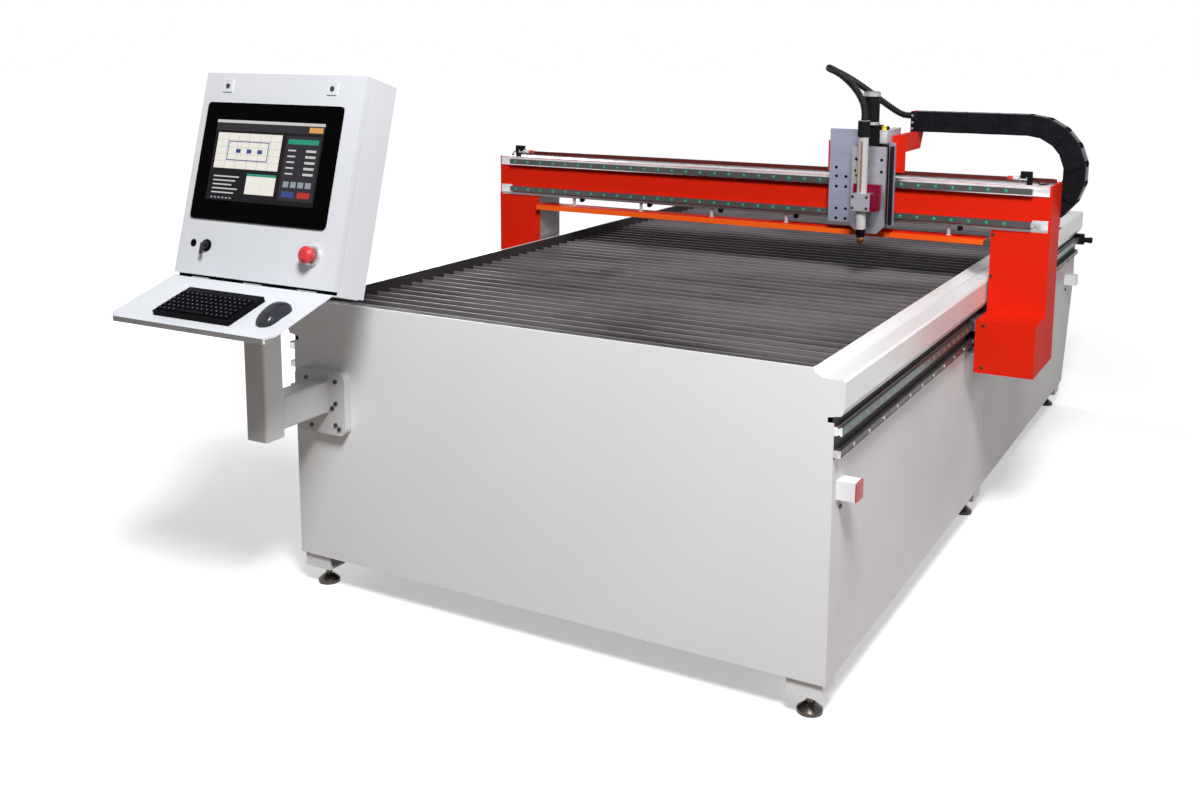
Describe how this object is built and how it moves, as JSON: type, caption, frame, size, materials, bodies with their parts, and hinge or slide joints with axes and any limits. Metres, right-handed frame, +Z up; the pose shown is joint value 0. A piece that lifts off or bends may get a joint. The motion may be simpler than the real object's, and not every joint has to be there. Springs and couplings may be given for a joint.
{
  "type": "cnc plasma table",
  "caption": "CNC plasma cutting table with a slatted bed, a gantry on side rails, a torch carriage with cable chain, and a leaning control console with keyboard tray.",
  "frame": {"origin": "on the floor, below the middle of the front panel's outer face", "axes": "+X to the right seen from the front, +Y from the front panel to the rear along the rails, +Z up"},
  "size_m": [2.3111, 4.1546, 1.6725],
  "materials": {
    "table_white": "satin powder coat",
    "frame_dark": "dull primer",
    "slat_steel": "scorched steel",
    "tank_steel": "dull",
    "rail_dark": "ground, oiled",
    "rack_steel": "machined",
    "block_steel": "satin",
    "stop_rubber": "matte",
    "foot_steel": "plated",
    "console_white": "satin powder coat",
    "black_plastic": "matte",
    "switch_metal": "satin",
    "estop_red": "gloss",
    "gantry_red": "gloss powder coat",
    "motor_black": "satin",
    "chain_black": "moulded nylon",
    "plate_grey": "anodised",
    "crimson": "anodised red",
    "torch_white": "satin",
    "copper": "machined copper",
    "hose_black": "ribbed"
  },
  "bodies": {
    "table": {"front_panel": "table_white", "rear_panel": "table_white", "side_panels": "table_white", "tank_floor": "tank_steel", "table_frame": "frame_dark", "slat_combs": "frame_dark", "slats": "slat_steel", "table_rails": "rail_dark", "table_racks": "rack_steel", "rail_covers": "table_white", "foot_brackets": "table_white", "side_stubs": "table_white", "rail_stops": "stop_rubber", "console_stand": "console_white", "console_tray": "console_white", "console_box": "console_white", "keyboard_base": "black_plastic"},
    "foot_front_left": {"foot_front_left": "foot_steel"},
    "foot_front_right": {"foot_front_right": "foot_steel"},
    "foot_mid_left": {"foot_mid_left": "foot_steel"},
    "foot_mid_right": {"foot_mid_right": "foot_steel"},
    "foot_rear_left": {"foot_rear_left": "foot_steel"},
    "foot_rear_right": {"foot_rear_right": "foot_steel"},
    "keys": {"keyboard_keys": "black_plastic"},
    "mouse": {"mouse": "black_plastic"},
    "door": {"console_door": "console_white", "monitor": "black_plastic", "switch_bezels": "switch_metal"},
    "estop": {"estop_button": "estop_red"},
    "key": {"key": "switch_metal"},
    "latch_left": {"latch_left": "black_plastic"},
    "latch_right": {"latch_right": "black_plastic"},
    "gantry": {"gantry_beam": "gantry_red", "beam_rails": "rail_dark", "beam_rack": "rack_steel", "gantry_legs": "block_steel", "leg_covers": "gantry_red", "gantry_blocks": "block_steel", "gantry_motors": "motor_black", "shield_strip": "gantry_red", "beam_brackets": "motor_black", "chain_lower": "chain_black"},
    "pinion_left": {"pinion_left": "rack_steel"},
    "pinion_right": {"pinion_right": "rack_steel"},
    "chain_loop": {"chain_loop": "chain_black"},
    "carriage": {"carriage_plate": "plate_grey", "carriage_blocks": "block_steel", "x_drive": "motor_black", "chain_bracket": "gantry_red", "z_housing": "motor_black", "z_motor": "motor_black", "chain_upper": "chain_black", "torch_hose": "hose_black"},
    "x_pinion": {"x_pinion": "rack_steel"},
    "z_screw": {"z_screw": "rack_steel"},
    "z_slide": {"z_plate": "plate_grey", "breakaway_block": "crimson", "torch_clamp": "plate_grey", "torch_body": "torch_white", "torch_tip": "copper"}
  },
  "joints": [
    {"name": "foot_front_left_turn", "type": "hinge", "parent": "table", "child": "foot_front_left", "pos_m": [-0.83, 0.06, 0], "axis": [0, 0, 1], "continuous": true},
    {"name": "foot_front_right_turn", "type": "hinge", "parent": "table", "child": "foot_front_right", "pos_m": [0.83, 0.06, 0], "axis": [0, 0, 1], "continuous": true},
    {"name": "foot_mid_left_turn", "type": "hinge", "parent": "table", "child": "foot_mid_left", "pos_m": [-0.83, 1.715, 0], "axis": [0, 0, 1], "continuous": true},
    {"name": "foot_mid_right_turn", "type": "hinge", "parent": "table", "child": "foot_mid_right", "pos_m": [0.83, 1.715, 0], "axis": [0, 0, 1], "continuous": true},
    {"name": "foot_rear_left_turn", "type": "hinge", "parent": "table", "child": "foot_rear_left", "pos_m": [-0.83, 3.37, 0], "axis": [0, 0, 1], "continuous": true},
    {"name": "foot_rear_right_turn", "type": "hinge", "parent": "table", "child": "foot_rear_right", "pos_m": [0.83, 3.37, 0], "axis": [0, 0, 1], "continuous": true},
    {"name": "keys_press", "type": "slide", "parent": "table", "child": "keys", "axis": [0, 0.2924, -0.9563], "range_m": [0, 0.0025], "stiffness_N_per_m": 800, "springref_m": -0.008},
    {"name": "mouse_slide", "type": "slide", "parent": "table", "child": "mouse", "axis": [1, 0, 0], "range_m": [-0.05, 0.04]},
    {"name": "door_tip", "type": "hinge", "parent": "table", "child": "door", "pos_m": [-0.765, -0.29554, 1.06273], "axis": [1, 0, 0], "range_deg": [0, 52]},
    {"name": "estop_press", "type": "slide", "parent": "door", "child": "estop", "axis": [0, 0.9603, -0.279], "range_m": [0, 0.006]},
    {"name": "key_turn", "type": "hinge", "parent": "door", "child": "key", "pos_m": [-0.96, -0.27838, 1.15407], "axis": [0, -0.9603, 0.279], "range_deg": [0, 90]},
    {"name": "latch_left_turn", "type": "hinge", "parent": "door", "child": "latch_left", "pos_m": [-0.979, -0.14363, 1.61789], "axis": [0, -0.9603, 0.279], "range_deg": [0, 90]},
    {"name": "latch_right_turn", "type": "hinge", "parent": "door", "child": "latch_right", "pos_m": [-0.573, -0.14363, 1.61789], "axis": [0, -0.9603, 0.279], "range_deg": [-90, 0]},
    {"name": "gantry_slide", "type": "slide", "parent": "table", "child": "gantry", "axis": [0, 1, 0], "range_m": [-1.25, 1.8]},
    {"name": "pinion_left_spin", "type": "hinge", "parent": "gantry", "child": "pinion_left", "pos_m": [-0.9, 1.44, 0.71], "axis": [1, 0, 0], "range_deg": [-3450, 4950]},
    {"name": "pinion_right_spin", "type": "hinge", "parent": "gantry", "child": "pinion_right", "pos_m": [0.9, 1.44, 0.71], "axis": [1, 0, 0], "range_deg": [-3450, 4950]},
    {"name": "chain_roll", "type": "slide", "parent": "gantry", "child": "chain_loop", "axis": [1, 0, 0], "range_m": [-0.64, 0.14]},
    {"name": "carriage_slide", "type": "slide", "parent": "gantry", "child": "carriage", "axis": [1, 0, 0], "range_m": [-1.25, 0.265], "deforming": ["chain_upper", "chain_lower"]},
    {"name": "x_pinion_spin", "type": "hinge", "parent": "carriage", "child": "x_pinion", "pos_m": [0.43, 1.678, 1.28], "axis": [0, 0, 1], "range_deg": [-740, 3450]},
    {"name": "z_slide", "type": "slide", "parent": "carriage", "child": "z_slide", "axis": [0, 0, 1], "range_m": [-0.125, 0.025], "deforming": ["torch_hose"]},
    {"name": "z_screw_spin", "type": "hinge", "parent": "carriage", "child": "z_screw", "pos_m": [0.516, 1.429, 1.2], "axis": [0, 0, 1], "range_deg": [-2260, 460]}
  ],
  "couplings": [
    {"joint": "pinion_left_spin", "follows": "gantry_slide", "rad_per_m": 47.619},
    {"joint": "pinion_right_spin", "follows": "gantry_slide", "rad_per_m": 47.619},
    {"joint": "chain_roll", "follows": "carriage_slide", "ratio": 0.5},
    {"joint": "x_pinion_spin", "follows": "carriage_slide", "rad_per_m": -47.619},
    {"joint": "z_screw_spin", "follows": "z_slide", "rad_per_m": 314.16}
  ]
}
